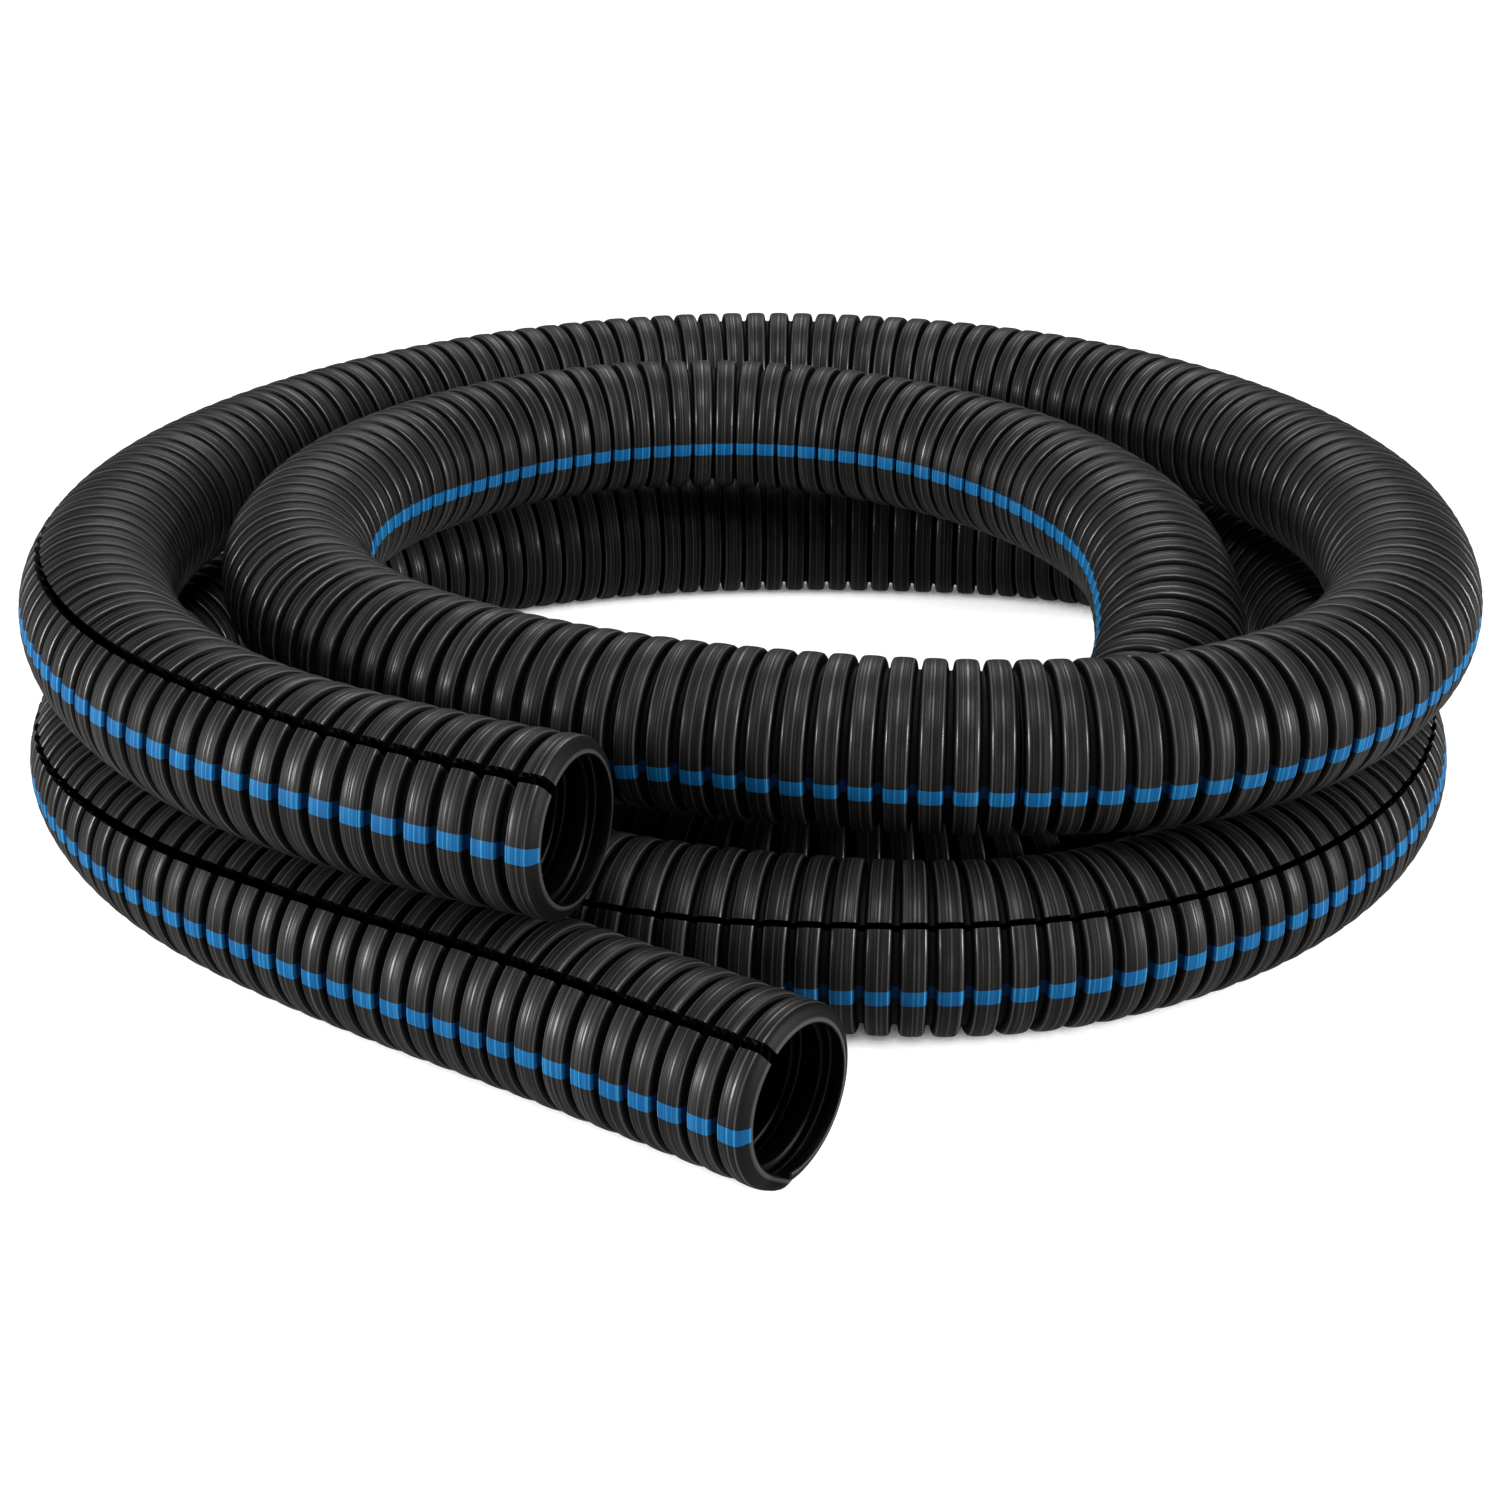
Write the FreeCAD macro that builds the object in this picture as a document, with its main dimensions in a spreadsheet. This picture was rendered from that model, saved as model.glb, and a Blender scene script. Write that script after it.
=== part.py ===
# Vacuum hose, folded double and wound into a loose coil that lies on a flat surface.
# Millimetres, Z up. The origin is under the middle of the coil's outline, on that surface.
import FreeCAD, Part
import Sketcher
import math
import os

Vector = FreeCAD.Vector

doc = FreeCAD.newDocument("vacuum_hose")

# Driving dimensions.
# The hose is named by its bore. One wall of even thickness rises and falls in square ribs.
# The land is the part of the wall that touches the bore, and the hollow is the inside of a rib.
DIMENSIONS = [
    ("bore_diameter", 38.0),
    ("root_diameter", 41.0),
    ("crest_diameter", 48.0),
    ("wall", 1.5),
    ("rib_pitch", 9.0),
    ("groove_width", 1.6),
    ("crest_width", 5.3),
    ("land_half", 1.95),
    ("hollow_start", 3.0),
    ("end_ribs", 3),
    ("slit_width", 2.2),
    ("stripe_width", 4.0),
    ("stripe_depth", 0.5),
    ("upper_slit_angle", 55.0),
    ("upper_stripe_angle", 6.0),
    ("lower_slit_angle", 58.0),
    ("lower_stripe_angle", 0.0),
    ("corners_per_quarter", 4),
    ("coil_centre_x", 0.1),
    ("coil_centre_y", 10.6),
]
sheet = doc.addObject("Spreadsheet::Sheet", "Sizes")
for row, (alias, value) in enumerate(DIMENSIONS, start=1):
    sheet.set("A%d" % row, alias.replace("_", " "))
    sheet.set("B%d" % row, str(value))
    sheet.setAlias("B%d" % row, alias)
doc.recompute()

crest_radius = sheet.crest_diameter / 2
floor_height = crest_radius
end_length = sheet.end_ribs * sheet.rib_pitch
coil_centre = Vector(sheet.coil_centre_x, sheet.coil_centre_y, 0)
UP = Vector(0, 0, 1)

# A bend's arc reaches this fraction of the shorter run next to its corner.
ARC_REACH = 0.45

# The plain stretches have a ring of flats, and the tighter or shorter of them in view have more.
FINE_FLATS = 16
WIDE_FLATS = 12
HIDDEN_FLATS = 8

# The places where a turn of the coil is furthest left, back, right and front,
# measured from the coil's centre. The third number is the height of the hose's middle.
upper_height = 74
UPPER_START = Vector(16, -211, upper_height)
UPPER_STATIONS = [
    Vector(-208, 4, upper_height),
    Vector(3, 227, upper_height),
    Vector(208.5, 9, upper_height),
    Vector(81, -155, upper_height),
    Vector(-147, 9, upper_height),
    Vector(-12, 155, upper_height),
    Vector(134, 2, 65),
]
LOWER_STATIONS = [
    Vector(29, -181, floor_height),
    Vector(200, -6, floor_height),
    Vector(0, 174, floor_height),
    Vector(-210, 0, floor_height),
]
# Where a quarter isn't a true ellipse its corner is cut off by this fraction, or below zero filled out.
UPPER_PULL = [0.02, -0.03, 0.0, -0.018, 0.0, 0.0]
LOWER_PULL = [0.0, 0.04, 0.02]

# Where the hose isn't coiled its route is a list of points.
UPPER_MOUTH = Vector(-44, -207, upper_height)
DIVE = [
    Vector(134, -26, 62),
    Vector(128, -60, 54),
    Vector(111, -91, 43),
    Vector(88, -112, 31),
    Vector(60, -123, floor_height),
]
FOLD_EXIT = [
    Vector(-93, -120, floor_height),
    Vector(-62, -145, floor_height),
    Vector(-27, -165.5, floor_height),
]
LOWER_TAIL = [
    Vector(-209, -30, floor_height),
    Vector(-194, -79, floor_height),
    Vector(-160, -129, floor_height),
    Vector(-108, -172, floor_height),
    Vector(-47, -212, floor_height),
    Vector(11.5, -254, floor_height),
]
# The hidden fold turns right and then left round these two centres.
RIGHT_BEND_CENTRE = Vector(24, -66, floor_height)
RIGHT_BEND_RADIUS = 57.0
LEFT_BEND_CENTRE = Vector(-86, -57, floor_height)
LEFT_BEND_RADIUS = 53.0


def quarter_turn(start, finish, from_side, pull=0.0):
    """Corners of the quarter ellipse between two stations; it touches each run at its middle."""
    count = int(sheet.corners_per_quarter)
    half_step = math.pi / 4 / count
    outward = 1 / math.cos(half_step)
    corners = []
    for number in range(count):
        turned = half_step * (2 * number + 1)
        spread = outward * (1 - pull * math.sin(2 * turned) ** 2)
        falling = spread * math.cos(turned)
        rising = spread * math.sin(turned)
        height = start.z + (finish.z - start.z) * turned / (math.pi / 2)
        if from_side:
            x = finish.x + (start.x - finish.x) * falling
            y = start.y + (finish.y - start.y) * rising
        else:
            x = start.x + (finish.x - start.x) * rising
            y = finish.y + (start.y - finish.y) * falling
        corners.append(Vector(x, y, height))
    return corners


def round_bend(centre, radius, first_angle, turned_angle, count):
    """Corners of a level bend of one radius about a centre; angles in degrees, anticlockwise."""
    step = math.radians(turned_angle) / count
    outward = radius / math.cos(step / 2)
    corners = []
    for number in range(count):
        angle = math.radians(first_angle) + step * (number + 0.5)
        corners.append(centre + Vector(math.cos(angle), math.sin(angle), 0) * outward)
    return corners


def coil_turns(stations, from_side, pulls):
    """Corners of every quarter between the stations, which are side and end by turns."""
    corners = []
    for start, finish, pull in zip(stations, stations[1:], pulls):
        corners = corners + quarter_turn(start, finish, from_side, pull)
        from_side = not from_side
    return corners


# The route, stretch by stretch, from the upper mouth to the lower one.
quarter = int(sheet.corners_per_quarter)
upper_turns = coil_turns(UPPER_STATIONS, True, UPPER_PULL)
lower_turns = coil_turns(LOWER_STATIONS, False, LOWER_PULL)
first_quarter = quarter_turn(UPPER_START, UPPER_STATIONS[0], False)[1:]
right_bend = round_bend(RIGHT_BEND_CENTRE, RIGHT_BEND_RADIUS, -90, -90, 3)
left_bend = round_bend(LEFT_BEND_CENTRE, LEFT_BEND_RADIUS, 0, 230, 8)
STRETCHES = [
    ("upper_end_stretch", [UPPER_MOUTH] + first_quarter + upper_turns[:2], FINE_FLATS),
    ("upper_turn", upper_turns[2: 3 * quarter], WIDE_FLATS),
    ("inner_turn", upper_turns[3 * quarter:], FINE_FLATS),
    ("crossover", DIVE, HIDDEN_FLATS),
    ("hidden_fold", right_bend + left_bend, HIDDEN_FLATS),
    ("lower_turn", FOLD_EXIT + lower_turns, WIDE_FLATS),
    ("lower_end_stretch", LOWER_TAIL, FINE_FLATS),
]
route = []
for label, corners, flats in STRETCHES:
    route = route + [coil_centre + corner for corner in corners]


def arc_radius(before, corner, after):
    """The tangent arc at a corner: its reach along the shorter run, over the tangent of half the turn."""
    half_turn = (corner - before).getAngle(after - corner) / 2
    return ARC_REACH * min((corner - before).Length, (after - corner).Length) / math.tan(half_turn)


def corner_arc(before, corner, after):
    """The tangent arc at a corner of the route, as an edge."""
    arriving = (corner - before).normalize()
    leaving = (after - corner).normalize()
    radius = arc_radius(before, corner, after)
    half_turn = arriving.getAngle(leaving) / 2
    reach = radius * math.tan(half_turn)
    inward = (leaving - arriving).normalize()
    middle = corner + inward * (radius / math.cos(half_turn) - radius)
    return Part.Arc(corner - arriving * reach, middle, corner + leaving * reach).toShape()


def stretch_path(first, last):
    """The path round the corners first to last, from the middle of one run to the middle of another.
    At a mouth it begins or ends where the ribbed end does."""
    if first == 1:
        point = route[0] + (route[1] - route[0]).normalize() * end_length
    else:
        point = (route[first - 1] + route[first]) / 2
    if last == len(route) - 2:
        finish = route[-1] + (route[-2] - route[-1]).normalize() * end_length
    else:
        finish = (route[last] + route[last + 1]) / 2
    edges = []
    for number in range(first, last + 1):
        arc = corner_arc(route[number - 1], route[number], route[number + 1])
        edges.append(Part.LineSegment(point, arc.firstVertex().Point).toShape())
        edges.append(arc)
        point = arc.lastVertex().Point
    edges.append(Part.LineSegment(point, finish).toShape())
    return Part.Wire(edges)


def backwards(path):
    """The same path, from its other end."""
    edges = []
    for edge in reversed(path.Edges):
        start, finish = edge.Vertexes[-1].Point, edge.Vertexes[0].Point
        if edge.Curve.TypeId == "Part::GeomLine":
            edges.append(Part.LineSegment(start, finish).toShape())
        else:
            middle = edge.valueAt((edge.FirstParameter + edge.LastParameter) / 2)
            edges.append(Part.Arc(start, middle, finish).toShape())
    return Part.Wire(edges)


def section_at(point, direction, flats):
    """The outline of the plain hose across its path: a ring of flats that touch the crest circle."""
    side = direction.cross(UP).normalize()
    top = side.cross(direction).normalize()
    step = 2 * math.pi / flats
    outward = crest_radius / math.cos(step / 2)
    points = []
    for number in range(flats):
        angle = step * (number + 0.5)
        points.append(point + side * outward * math.cos(angle) + top * outward * math.sin(angle))
    return Part.makePolygon(points + [points[0]])


def sweep(path, flats):
    """A solid along straight and arc edges: its section slides along one and turns about the other."""
    first = path.Edges[0]
    start = first.firstVertex().Point
    section = section_at(start, first.lastVertex().Point - start, flats)
    faces = [Part.Face(section)]
    for edge in path.Edges:
        if edge.Curve.TypeId == "Part::GeomLine":
            step = edge.lastVertex().Point - edge.firstVertex().Point
            faces = faces + section.extrude(step).Faces
            section = section.translated(step)
        else:
            centre = edge.Curve.Center
            turned = math.degrees(edge.LastParameter - edge.FirstParameter)
            faces = faces + section.revolve(centre, edge.Curve.Axis, turned).Faces
            section = section.rotated(centre, edge.Curve.Axis, turned)
    faces.append(Part.Face(section))
    shell = Part.makeShell(faces)
    shell.sewShape()
    solid = Part.makeSolid(shell)
    if solid.Volume < 0:
        solid.reverse()
    return solid


def make_stretch(label, first, last, flats):
    """A plain stretch of the hose, with its volume compared with its section times its length.
    It is swept from its lower end, so that its lowest flat lies level on the floor there."""
    path = stretch_path(first, last)
    if path.Vertexes[0].Z > path.Vertexes[-1].Z:
        path = backwards(path)
    feature = doc.addObject("Part::Feature", label)
    feature.Label = label
    feature.Shape = sweep(path, flats)
    area = flats * crest_radius ** 2 * math.tan(math.pi / flats)
    print("%s: %.0f mm long, volume %.4f of section times length"
          % (label, path.Length, feature.Shape.Volume / (area * path.Length)))
    return feature


def origin_feature(body, role):
    for feature in body.Origin.OriginFeatures:
        if feature.Role == role:
            return feature


def add_sketch(body, role, name, points):
    """A closed outline on one of the body's planes; each corner is two expressions on the sheet."""
    sketch = body.newObject("Sketcher::SketchObject", name)
    sketch.AttachmentSupport = [(origin_feature(body, role), "")]
    sketch.MapMode = "FlatFace"
    places = []
    for across, along in points:
        places.append(Vector(sheet.evalExpression(across), sheet.evalExpression(along), 0))
    count = len(places)
    for number in range(count):
        sketch.addGeometry(Part.LineSegment(places[number], places[(number + 1) % count]), False)
    for number in range(count):
        sketch.addConstraint(Sketcher.Constraint("Coincident", number, 2, (number + 1) % count, 1))
    for number, (across, along) in enumerate(points):
        for kind, value, text in (
            ("DistanceX", places[number].x, across),
            ("DistanceY", places[number].y, along),
        ):
            index = sketch.addConstraint(Sketcher.Constraint(kind, -1, 1, number, 1, value))
            sketch.setExpression("Constraints[%d]" % index, on_sheet(text))
    return sketch


def on_sheet(text):
    """The same expression with each alias read from the sheet, for use by another object."""
    for alias, value in DIMENSIONS:
        text = text.replace(alias, "Sizes." + alias)
    return text


# The outline of one rib's outside and inside, as distance from the hose's middle and along it.
FLANK = "(rib_pitch - groove_width - crest_width) / 2"
OUTSIDE = [
    ("root_diameter / 2", "0"),
    ("root_diameter / 2", "groove_width / 2"),
    ("crest_diameter / 2", "groove_width / 2 + " + FLANK),
    ("crest_diameter / 2", "rib_pitch - groove_width / 2 - " + FLANK),
    ("root_diameter / 2", "rib_pitch - groove_width / 2"),
    ("root_diameter / 2", "rib_pitch"),
]
INSIDE = [
    ("bore_diameter / 2", "rib_pitch"),
    ("bore_diameter / 2", "rib_pitch - land_half"),
    ("crest_diameter / 2 - wall", "rib_pitch - hollow_start"),
    ("crest_diameter / 2 - wall", "hollow_start"),
    ("bore_diameter / 2", "land_half"),
    ("bore_diameter / 2", "0"),
]
UNDER_STRIPE = [(across + " - stripe_depth", along) for across, along in reversed(OUTSIDE)]


def ribbed_body(name, profile, angle):
    """A body that turns one rib's outline about its Z axis and repeats it from the mouth inwards."""
    body = doc.addObject("PartDesign::Body", name)
    sketch = add_sketch(body, "XZ_Plane", name + "_outline", profile)
    turned = body.newObject("PartDesign::Revolution", name + "_rib")
    turned.Profile = sketch
    turned.ReferenceAxis = (sketch, ["V_Axis"])
    turned.Midplane = True
    turned.setExpression("Angle", angle)
    doc.recompute()
    ribs = body.newObject("PartDesign::LinearPattern", name + "_ribs")
    ribs.Originals = [turned]
    ribs.Direction = (sketch, ["V_Axis"])
    ribs.setExpression("Length", "Sizes.rib_pitch * (Sizes.end_ribs - 1)")
    ribs.setExpression("Occurrences", "Sizes.end_ribs")
    body.Tip = ribs
    doc.recompute()
    return body


def cut_slit(body, name):
    """The slit along the hose, on the body's X side, right through the wall."""
    outline = [
        ("bore_diameter / 2 - wall", "-slit_width / 2"),
        ("crest_diameter / 2 + wall", "-slit_width / 2"),
        ("crest_diameter / 2 + wall", "slit_width / 2"),
        ("bore_diameter / 2 - wall", "slit_width / 2"),
    ]
    sketch = add_sketch(body, "XY_Plane", name + "_slit_outline", outline)
    slit = body.newObject("PartDesign::Pocket", name + "_slit")
    slit.Profile = sketch
    slit.Type = "ThroughAll"
    slit.Midplane = True
    whole = body.Shape.Volume
    body.Tip = slit
    doc.recompute()
    print("%s: the slit takes %.0f of %.0f mm3 of wall" % (name, whole - body.Shape.Volume, whole))


def end_placement(mouth, inside, angle):
    """Z runs into the hose from the mouth, and X points out at an angle above the coil's outer side."""
    inward = (inside - mouth).normalize()
    outer_side = UP.cross(inward).normalize()
    upper_side = inward.cross(outer_side)
    turned = math.radians(angle)
    x_axis = outer_side * math.cos(turned) + upper_side * math.sin(turned)
    rotation = FreeCAD.Rotation(x_axis, inward.cross(x_axis), inward, "ZXY")
    return FreeCAD.Placement(mouth, rotation)


def make_end(name, plain, mouth, inside, slit_angle, stripe_angle):
    """One end of the hose: ribbed, slit wall joined to its plain stretch, with the stripe let in."""
    wall = ribbed_body(name + "_wall", OUTSIDE + INSIDE, "360")
    cut_slit(wall, name)
    wall.Placement = end_placement(mouth, inside, slit_angle)
    arc = "Sizes.stripe_width / Sizes.crest_diameter * 360 / pi"
    stripe = ribbed_body(name + "_stripe", OUTSIDE + UNDER_STRIPE, arc)
    stripe.Placement = end_placement(mouth, inside, stripe_angle)
    joined = doc.addObject("Part::Fuse", name + "_joined")
    joined.Base = wall
    joined.Tool = plain
    end = doc.addObject("Part::Cut", name)
    end.Base = joined
    end.Tool = stripe
    end.Label = name
    return [end, stripe]


stretches = []
first = 0
for label, corners, flats in STRETCHES:
    last = min(first + len(corners), len(route) - 1) - 1
    stretches.append(make_stretch(label, max(first, 1), last, flats))
    first = first + len(corners)
upper_angles = (sheet.upper_slit_angle, sheet.upper_stripe_angle)
lower_angles = (sheet.lower_slit_angle, sheet.lower_stripe_angle)
pieces = make_end("upper_end", stretches[0], route[0], route[1], *upper_angles)
pieces = pieces + stretches[1:-1]
pieces = pieces + make_end("lower_end", stretches[-1], route[-1], route[-2], *lower_angles)
doc.recompute()

print("arc radii, in crest diameters:")
for before, corner, after in zip(route, route[1:], route[2:]):
    print("%.2f" % (arc_radius(before, corner, after) / sheet.crest_diameter), end=" ")
print()

for item in doc.Objects:
    if "Invalid" in item.State or "Error" in item.State:
        raise RuntimeError("%s failed: %s" % (item.Name, item.State))
for piece in pieces:
    if piece.Shape.isNull() or not piece.Shape.isValid():
        raise RuntimeError(piece.Label + " has no valid shape")

os.makedirs("parts", exist_ok=True)
whole = FreeCAD.BoundBox()
for piece in pieces:
    piece.Shape.exportStep("parts/%s.step" % piece.Label)
    whole.add(piece.Shape.BoundBox)
    print("%s: %d solid, %.0f mm3" % (piece.Label, len(piece.Shape.Solids), piece.Shape.Volume))
print("middle of the outline: %.1f, %.1f; lowest point %.2f" % (whole.Center.x, whole.Center.y, whole.ZMin))
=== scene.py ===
# %% [markdown]
# # A slit corrugated hose, folded double and coiled
#
# The object is one length of black corrugated plastic hose with a blue stripe and a slit along
# its wall. It is folded in the middle and both halves are wound together into a loose coil of
# two layers, with its two open ends at the front left.
#
# The CAD model is loaded first. It fixes the size and the place of everything that follows.

# %% Load the CAD frame
import bpy
import math
import numpy as np
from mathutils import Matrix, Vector


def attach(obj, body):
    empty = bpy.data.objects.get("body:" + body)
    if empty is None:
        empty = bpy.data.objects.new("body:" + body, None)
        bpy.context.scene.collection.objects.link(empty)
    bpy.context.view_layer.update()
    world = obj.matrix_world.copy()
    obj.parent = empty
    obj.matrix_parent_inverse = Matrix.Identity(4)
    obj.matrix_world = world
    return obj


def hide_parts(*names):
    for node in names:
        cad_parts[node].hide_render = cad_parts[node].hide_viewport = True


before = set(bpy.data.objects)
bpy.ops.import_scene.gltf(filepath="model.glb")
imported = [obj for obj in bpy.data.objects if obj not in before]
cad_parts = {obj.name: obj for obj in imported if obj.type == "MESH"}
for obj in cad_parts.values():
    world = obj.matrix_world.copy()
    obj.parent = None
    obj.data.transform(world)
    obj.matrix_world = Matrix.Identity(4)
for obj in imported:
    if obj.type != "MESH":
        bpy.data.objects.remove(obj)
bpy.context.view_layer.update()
print("CAD nodes:", sorted(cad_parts))

# %% [markdown]
# ## The camera
#
# The photograph looks down on the coil from a little above, close enough for the front ribs to
# look half as large again as the back ones. So the camera stands near, with a lens that is not
# long. Its place was found by matching the outline of the coil, and it goes in first, because
# every later choice is judged through it.

# %% Camera
camera_data = bpy.data.cameras.new("camera")
camera_data.lens = 61.63
camera = bpy.data.objects.new("camera", camera_data)
camera.location = (-0.00045, -0.7805, 0.3510)
camera.rotation_euler = (math.radians(66.41), 0.0, 0.0)
bpy.context.scene.collection.objects.link(camera)
bpy.context.scene.camera = camera
print("camera height: %.3f m" % camera.location.z)

# %% [markdown]
# ## The hose's route
#
# A stiff hose lies in long smooth curves. Each turn of the coil is given by the places where it
# is furthest left, back, right and front, and a quarter of an ellipse joins one to the next.
# Where the hose isn't coiled, its route is a short list of given points: the dive from the upper
# layer to the floor, the hidden fold under the front turns, and the tail that runs out to the lower
# mouth. All points are control points of one spline, so the hose has no corners.

# %% The coil's turns
UPPER_HEIGHT = 0.074
FLOOR_HEIGHT = 0.024
COIL_CENTRE = np.array([0.0001, 0.0106, 0.0])
CORNERS_PER_QUARTER = 4

UPPER_START = (0.016, -0.211, UPPER_HEIGHT)
UPPER_STATIONS = [
    (-0.208, 0.004, UPPER_HEIGHT),
    (0.003, 0.227, UPPER_HEIGHT),
    (0.2085, 0.009, UPPER_HEIGHT),
    (0.081, -0.155, UPPER_HEIGHT),
    (-0.147, 0.009, UPPER_HEIGHT),
    (-0.012, 0.155, UPPER_HEIGHT),
    (0.134, 0.002, 0.065),
]
LOWER_STATIONS = [
    (0.029, -0.181, FLOOR_HEIGHT),
    (0.200, -0.006, FLOOR_HEIGHT),
    (0.000, 0.174, FLOOR_HEIGHT),
    (-0.210, 0.000, FLOOR_HEIGHT),
]
UPPER_PULL = [0.02, -0.012, 0.0, -0.018, 0.0, 0.0]
LOWER_PULL = [0.0, np.array([0.0, -0.22, -0.15, -0.14]), 0.02]


def quarter_turn(start, finish, from_side, pull=0.0):
    """Control points of a quarter ellipse between two stations.
    A point is turned by an odd number of half steps and lies outside the ellipse by one over
    the cosine of the half step, so that the line between two neighbours touches the ellipse.
    A pull cuts the quarter's corner off by that fraction, or fills it out when below zero. It is
    one number, or one for each point where the photograph asks for a lopsided curve."""
    half_step = math.pi / 4 / CORNERS_PER_QUARTER
    turned = half_step * (2 * np.arange(CORNERS_PER_QUARTER) + 1)
    spread = (1 - pull * np.sin(2 * turned) ** 2) / math.cos(half_step)
    falling, rising = spread * np.cos(turned), spread * np.sin(turned)
    (x0, y0, z0), (x1, y1, z1) = start, finish
    if from_side:
        x, y = x1 + (x0 - x1) * falling, y0 + (y1 - y0) * rising
    else:
        x, y = x0 + (x1 - x0) * rising, y1 + (y0 - y1) * falling
    return np.stack([x, y, z0 + (z1 - z0) * turned / (math.pi / 2)], axis=1)


def coil_turns(stations, from_side, pulls):
    """The quarters between all the stations, which lie at a side and at an end by turns."""
    quarters = []
    for start, finish, pull in zip(stations, stations[1:], pulls):
        quarters.append(quarter_turn(start, finish, from_side, pull))
        from_side = not from_side
    return np.vstack(quarters)


upper_turns = coil_turns(UPPER_STATIONS, True, UPPER_PULL)
lower_turns = coil_turns(LOWER_STATIONS, False, LOWER_PULL)
print("points in the turns:", len(upper_turns), "and", len(lower_turns))

# %% The loose runs
UPPER_MOUTH = [(-0.044, -0.207, UPPER_HEIGHT)]
DIVE = [
    (0.134, -0.026, 0.062),
    (0.128, -0.060, 0.054),
    (0.111, -0.091, 0.043),
    (0.088, -0.112, 0.031),
    (0.060, -0.123, FLOOR_HEIGHT),
]
FOLD_EXIT = [
    (-0.093, -0.120, FLOOR_HEIGHT),
    (-0.062, -0.145, FLOOR_HEIGHT),
    (-0.027, -0.1655, FLOOR_HEIGHT),
]
LOWER_TAIL = [
    (-0.209, -0.030, FLOOR_HEIGHT),
    (-0.194, -0.079, FLOOR_HEIGHT),
    (-0.160, -0.129, FLOOR_HEIGHT),
    (-0.108, -0.172, FLOOR_HEIGHT),
    (-0.047, -0.212, FLOOR_HEIGHT),
    (0.0115, -0.254, FLOOR_HEIGHT),
]


def round_bend(centre, radius, first_angle, turned_angle, count):
    """Control points of a level bend about a centre: equal steps of the turned angle, each point
    outside the bend's radius by one over the cosine of half a step."""
    step = math.radians(turned_angle) / count
    angle = math.radians(first_angle) + step * (np.arange(count) + 0.5)
    reach = radius / math.cos(step / 2)
    flat = np.full(count, FLOOR_HEIGHT)
    return np.stack([centre[0] + reach * np.cos(angle), centre[1] + reach * np.sin(angle), flat], 1)


stretch_points = {
    "upper_end": np.vstack([
        UPPER_MOUTH, quarter_turn(UPPER_START, UPPER_STATIONS[0], False)[1:], upper_turns[:2]]),
    "upper_turn": upper_turns[2:12],
    "inner_turn": upper_turns[12:],
    "dive_and_fold": np.vstack([
        DIVE,
        round_bend((0.024, -0.066), 0.057, -90, -90, 3),
        round_bend((-0.086, -0.057), 0.053, 0, 230, 8)]),
    "lower_turn_front": np.vstack([FOLD_EXIT, lower_turns[:5]]),
    "lower_turn_back": lower_turns[5:],
    "lower_end": np.array(LOWER_TAIL),
}
route = COIL_CENTRE + np.vstack(list(stretch_points.values()))
print("the route has", len(route), "points")

# %% [markdown]
# ## One smooth line
#
# The points become one NURBS spline of order 3, which starts and ends at its end points. Blender
# draws it as a fine chain of short steps, and those steps are read back as the hose's middle.
# Then every piece can ask where the middle is after so many metres of hose.

# %% Read the spline
def spline_line(points):
    """The points of a smooth NURBS line that has the given control points."""
    curve = bpy.data.curves.new("route", "CURVE")
    curve.dimensions = "3D"
    curve.resolution_u = 48
    spline = curve.splines.new("NURBS")
    spline.points.add(len(points) - 1)
    weighted = np.hstack([points, np.ones((len(points), 1))])
    spline.points.foreach_set("co", weighted.ravel())
    spline.order_u = 3
    spline.use_endpoint_u = True
    guide = bpy.data.objects.new("route", curve)
    mesh = bpy.data.meshes.new_from_object(guide)
    line = np.empty(len(mesh.vertices) * 3)
    mesh.vertices.foreach_get("co", line)
    bpy.data.objects.remove(guide)
    bpy.data.curves.remove(curve)
    bpy.data.meshes.remove(mesh)
    return line.reshape(-1, 3)


SAME_POINT = 1e-7
line = spline_line(route)
steps = np.linalg.norm(np.diff(line, axis=0), axis=1)
line = line[np.concatenate([[True], steps > SAME_POINT])]
run = np.concatenate([[0.0], np.cumsum(np.linalg.norm(np.diff(line, axis=0), axis=1))])
hose_length = run[-1]
print("the hose is %.3f m long, read at %d points" % (hose_length, len(line)))


# %% Middle, direction and bend
EVEN_STEP = 0.001
even_run = np.linspace(0.0, hose_length, int(hose_length / EVEN_STEP) + 1)


def between(samples, at):
    """Straight interpolation of evenly spaced samples, column by column."""
    return np.stack([np.interp(at, even_run, column) for column in samples.T], axis=-1)


middle_samples = np.stack([np.interp(even_run, run, column) for column in line.T], axis=-1)
slope = np.gradient(middle_samples, even_run, axis=0)
direction_samples = slope / np.linalg.norm(slope, axis=1, keepdims=True)
bend_samples = np.linalg.norm(np.gradient(direction_samples, even_run, axis=0), axis=1)
away_from_ends = slice(20, -20)
print("tightest bend: %.0f mm radius" % (1000 / bend_samples[away_from_ends].max()))


def nearest_run(point):
    """How far along the hose the given point of the coil is."""
    away = np.linalg.norm(middle_samples - COIL_CENTRE - np.array(point), axis=1)
    return even_run[away.argmin()]


# %% [markdown]
# ## Where the stripe and the slit lie round the hose
#
# The hose is turned a little about its own length as it is coiled, so its stripe wanders: it
# faces outwards at both mouths, and comes round to the inner side in the small turn. The slit is
# cut after the hose is made and doesn't keep quite even with the stripe. Both were measured on
# the photograph, as pairs of metres along the hose and degrees round it. An angle is counted
# from the left of the way the hose runs, and up is positive. The slit's width in millimetres is a
# third list. It gapes near both mouths and in the lower front, and elsewhere its lips are pressed
# together, so that no gap is seen.

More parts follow.
